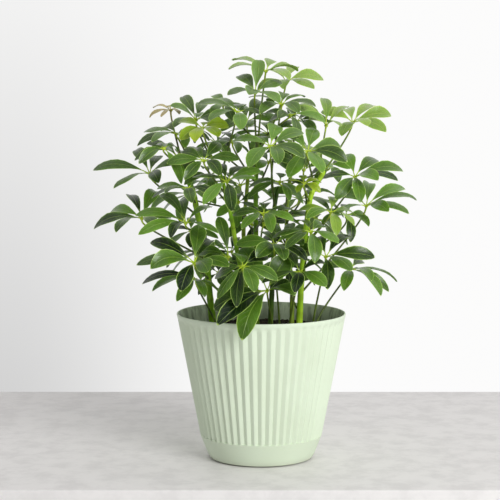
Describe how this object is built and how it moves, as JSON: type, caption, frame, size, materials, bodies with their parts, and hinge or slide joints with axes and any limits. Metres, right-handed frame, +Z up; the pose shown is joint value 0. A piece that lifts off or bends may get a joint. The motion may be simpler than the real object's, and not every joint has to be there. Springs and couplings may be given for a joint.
{
  "type": "potted umbrella plant",
  "caption": "Bushy umbrella plant with glossy leaflets spread in rings on long stalks, growing on upright canes in a round tapered pot with a finely pleated wall.",
  "frame": {"origin": "centre of the pot's flat underside", "axes": "+Z up along the pot's axis, +X to the right and -Y towards the viewer of the picture"},
  "size_m": [0.368, 0.3103, 0.4489],
  "materials": {
    "pot": "smooth matte pale mint green",
    "soil": "crumbly moist dark potting compost",
    "cane": "satin yellow-green young bark",
    "leaf_mature": "glossy deep green with paler midribs",
    "leaf_fresh": "glossy mid green with pale edges",
    "leaf_young": "soft satin lime green",
    "leaf_bronze": "satin bronze green"
  },
  "bodies": {
    "root": {"cane_bright": "cane", "cane_dark": "cane", "cane_left": "cane", "cane_middle": "cane", "cane_rear": "cane", "cane_rear_right": "cane", "cane_slim": "cane", "leaf_bronze": "leaf_bronze", "leaf_centre_1": "leaf_mature", "leaf_centre_10": "leaf_bronze", "leaf_centre_11": "leaf_mature", "leaf_centre_2": "leaf_young", "leaf_centre_3": "leaf_mature", "leaf_centre_4": "leaf_mature", "leaf_centre_5": "leaf_mature", "leaf_centre_6": "leaf_mature", "leaf_centre_7": "leaf_mature", "leaf_centre_8": "leaf_fresh", "leaf_centre_9": "leaf_mature", "leaf_crown_1": "leaf_fresh", "leaf_crown_2": "leaf_fresh", "leaf_crown_3": "leaf_mature", "leaf_crown_4": "leaf_mature", "leaf_crown_5": "leaf_mature", "leaf_front_1": "leaf_mature", "leaf_front_2": "leaf_mature", "leaf_front_3": "leaf_mature", "leaf_front_4": "leaf_mature", "leaf_left_1": "leaf_mature", "leaf_left_2": "leaf_mature", "leaf_left_3": "leaf_mature", "leaf_left_4": "leaf_mature", "leaf_left_5": "leaf_mature", "leaf_left_6": "leaf_mature", "leaf_left_7": "leaf_mature", "leaf_left_8": "leaf_mature", "leaf_middle_1": "leaf_mature", "leaf_middle_2": "leaf_mature", "leaf_middle_3": "leaf_fresh", "leaf_middle_4": "leaf_mature", "leaf_middle_5": "leaf_mature", "leaf_middle_6": "leaf_mature", "leaf_middle_7": "leaf_mature", "leaf_rear_1": "leaf_mature", "leaf_rear_2": "leaf_mature", "leaf_rear_3": "leaf_fresh", "leaf_rear_4": "leaf_mature", "leaf_rear_5": "leaf_mature", "leaf_rear_6": "leaf_mature", "leaf_rear_7": "leaf_mature", "leaf_rear_8": "leaf_mature", "leaf_rear_9": "leaf_mature", "leaf_right_1": "leaf_mature", "leaf_right_2": "leaf_mature", "leaf_right_3": "leaf_fresh", "leaf_right_4": "leaf_mature", "leaf_right_5": "leaf_mature", "leaf_young": "leaf_young", "pot": "pot", "soil": "soil"}
  },
  "joints": []
}
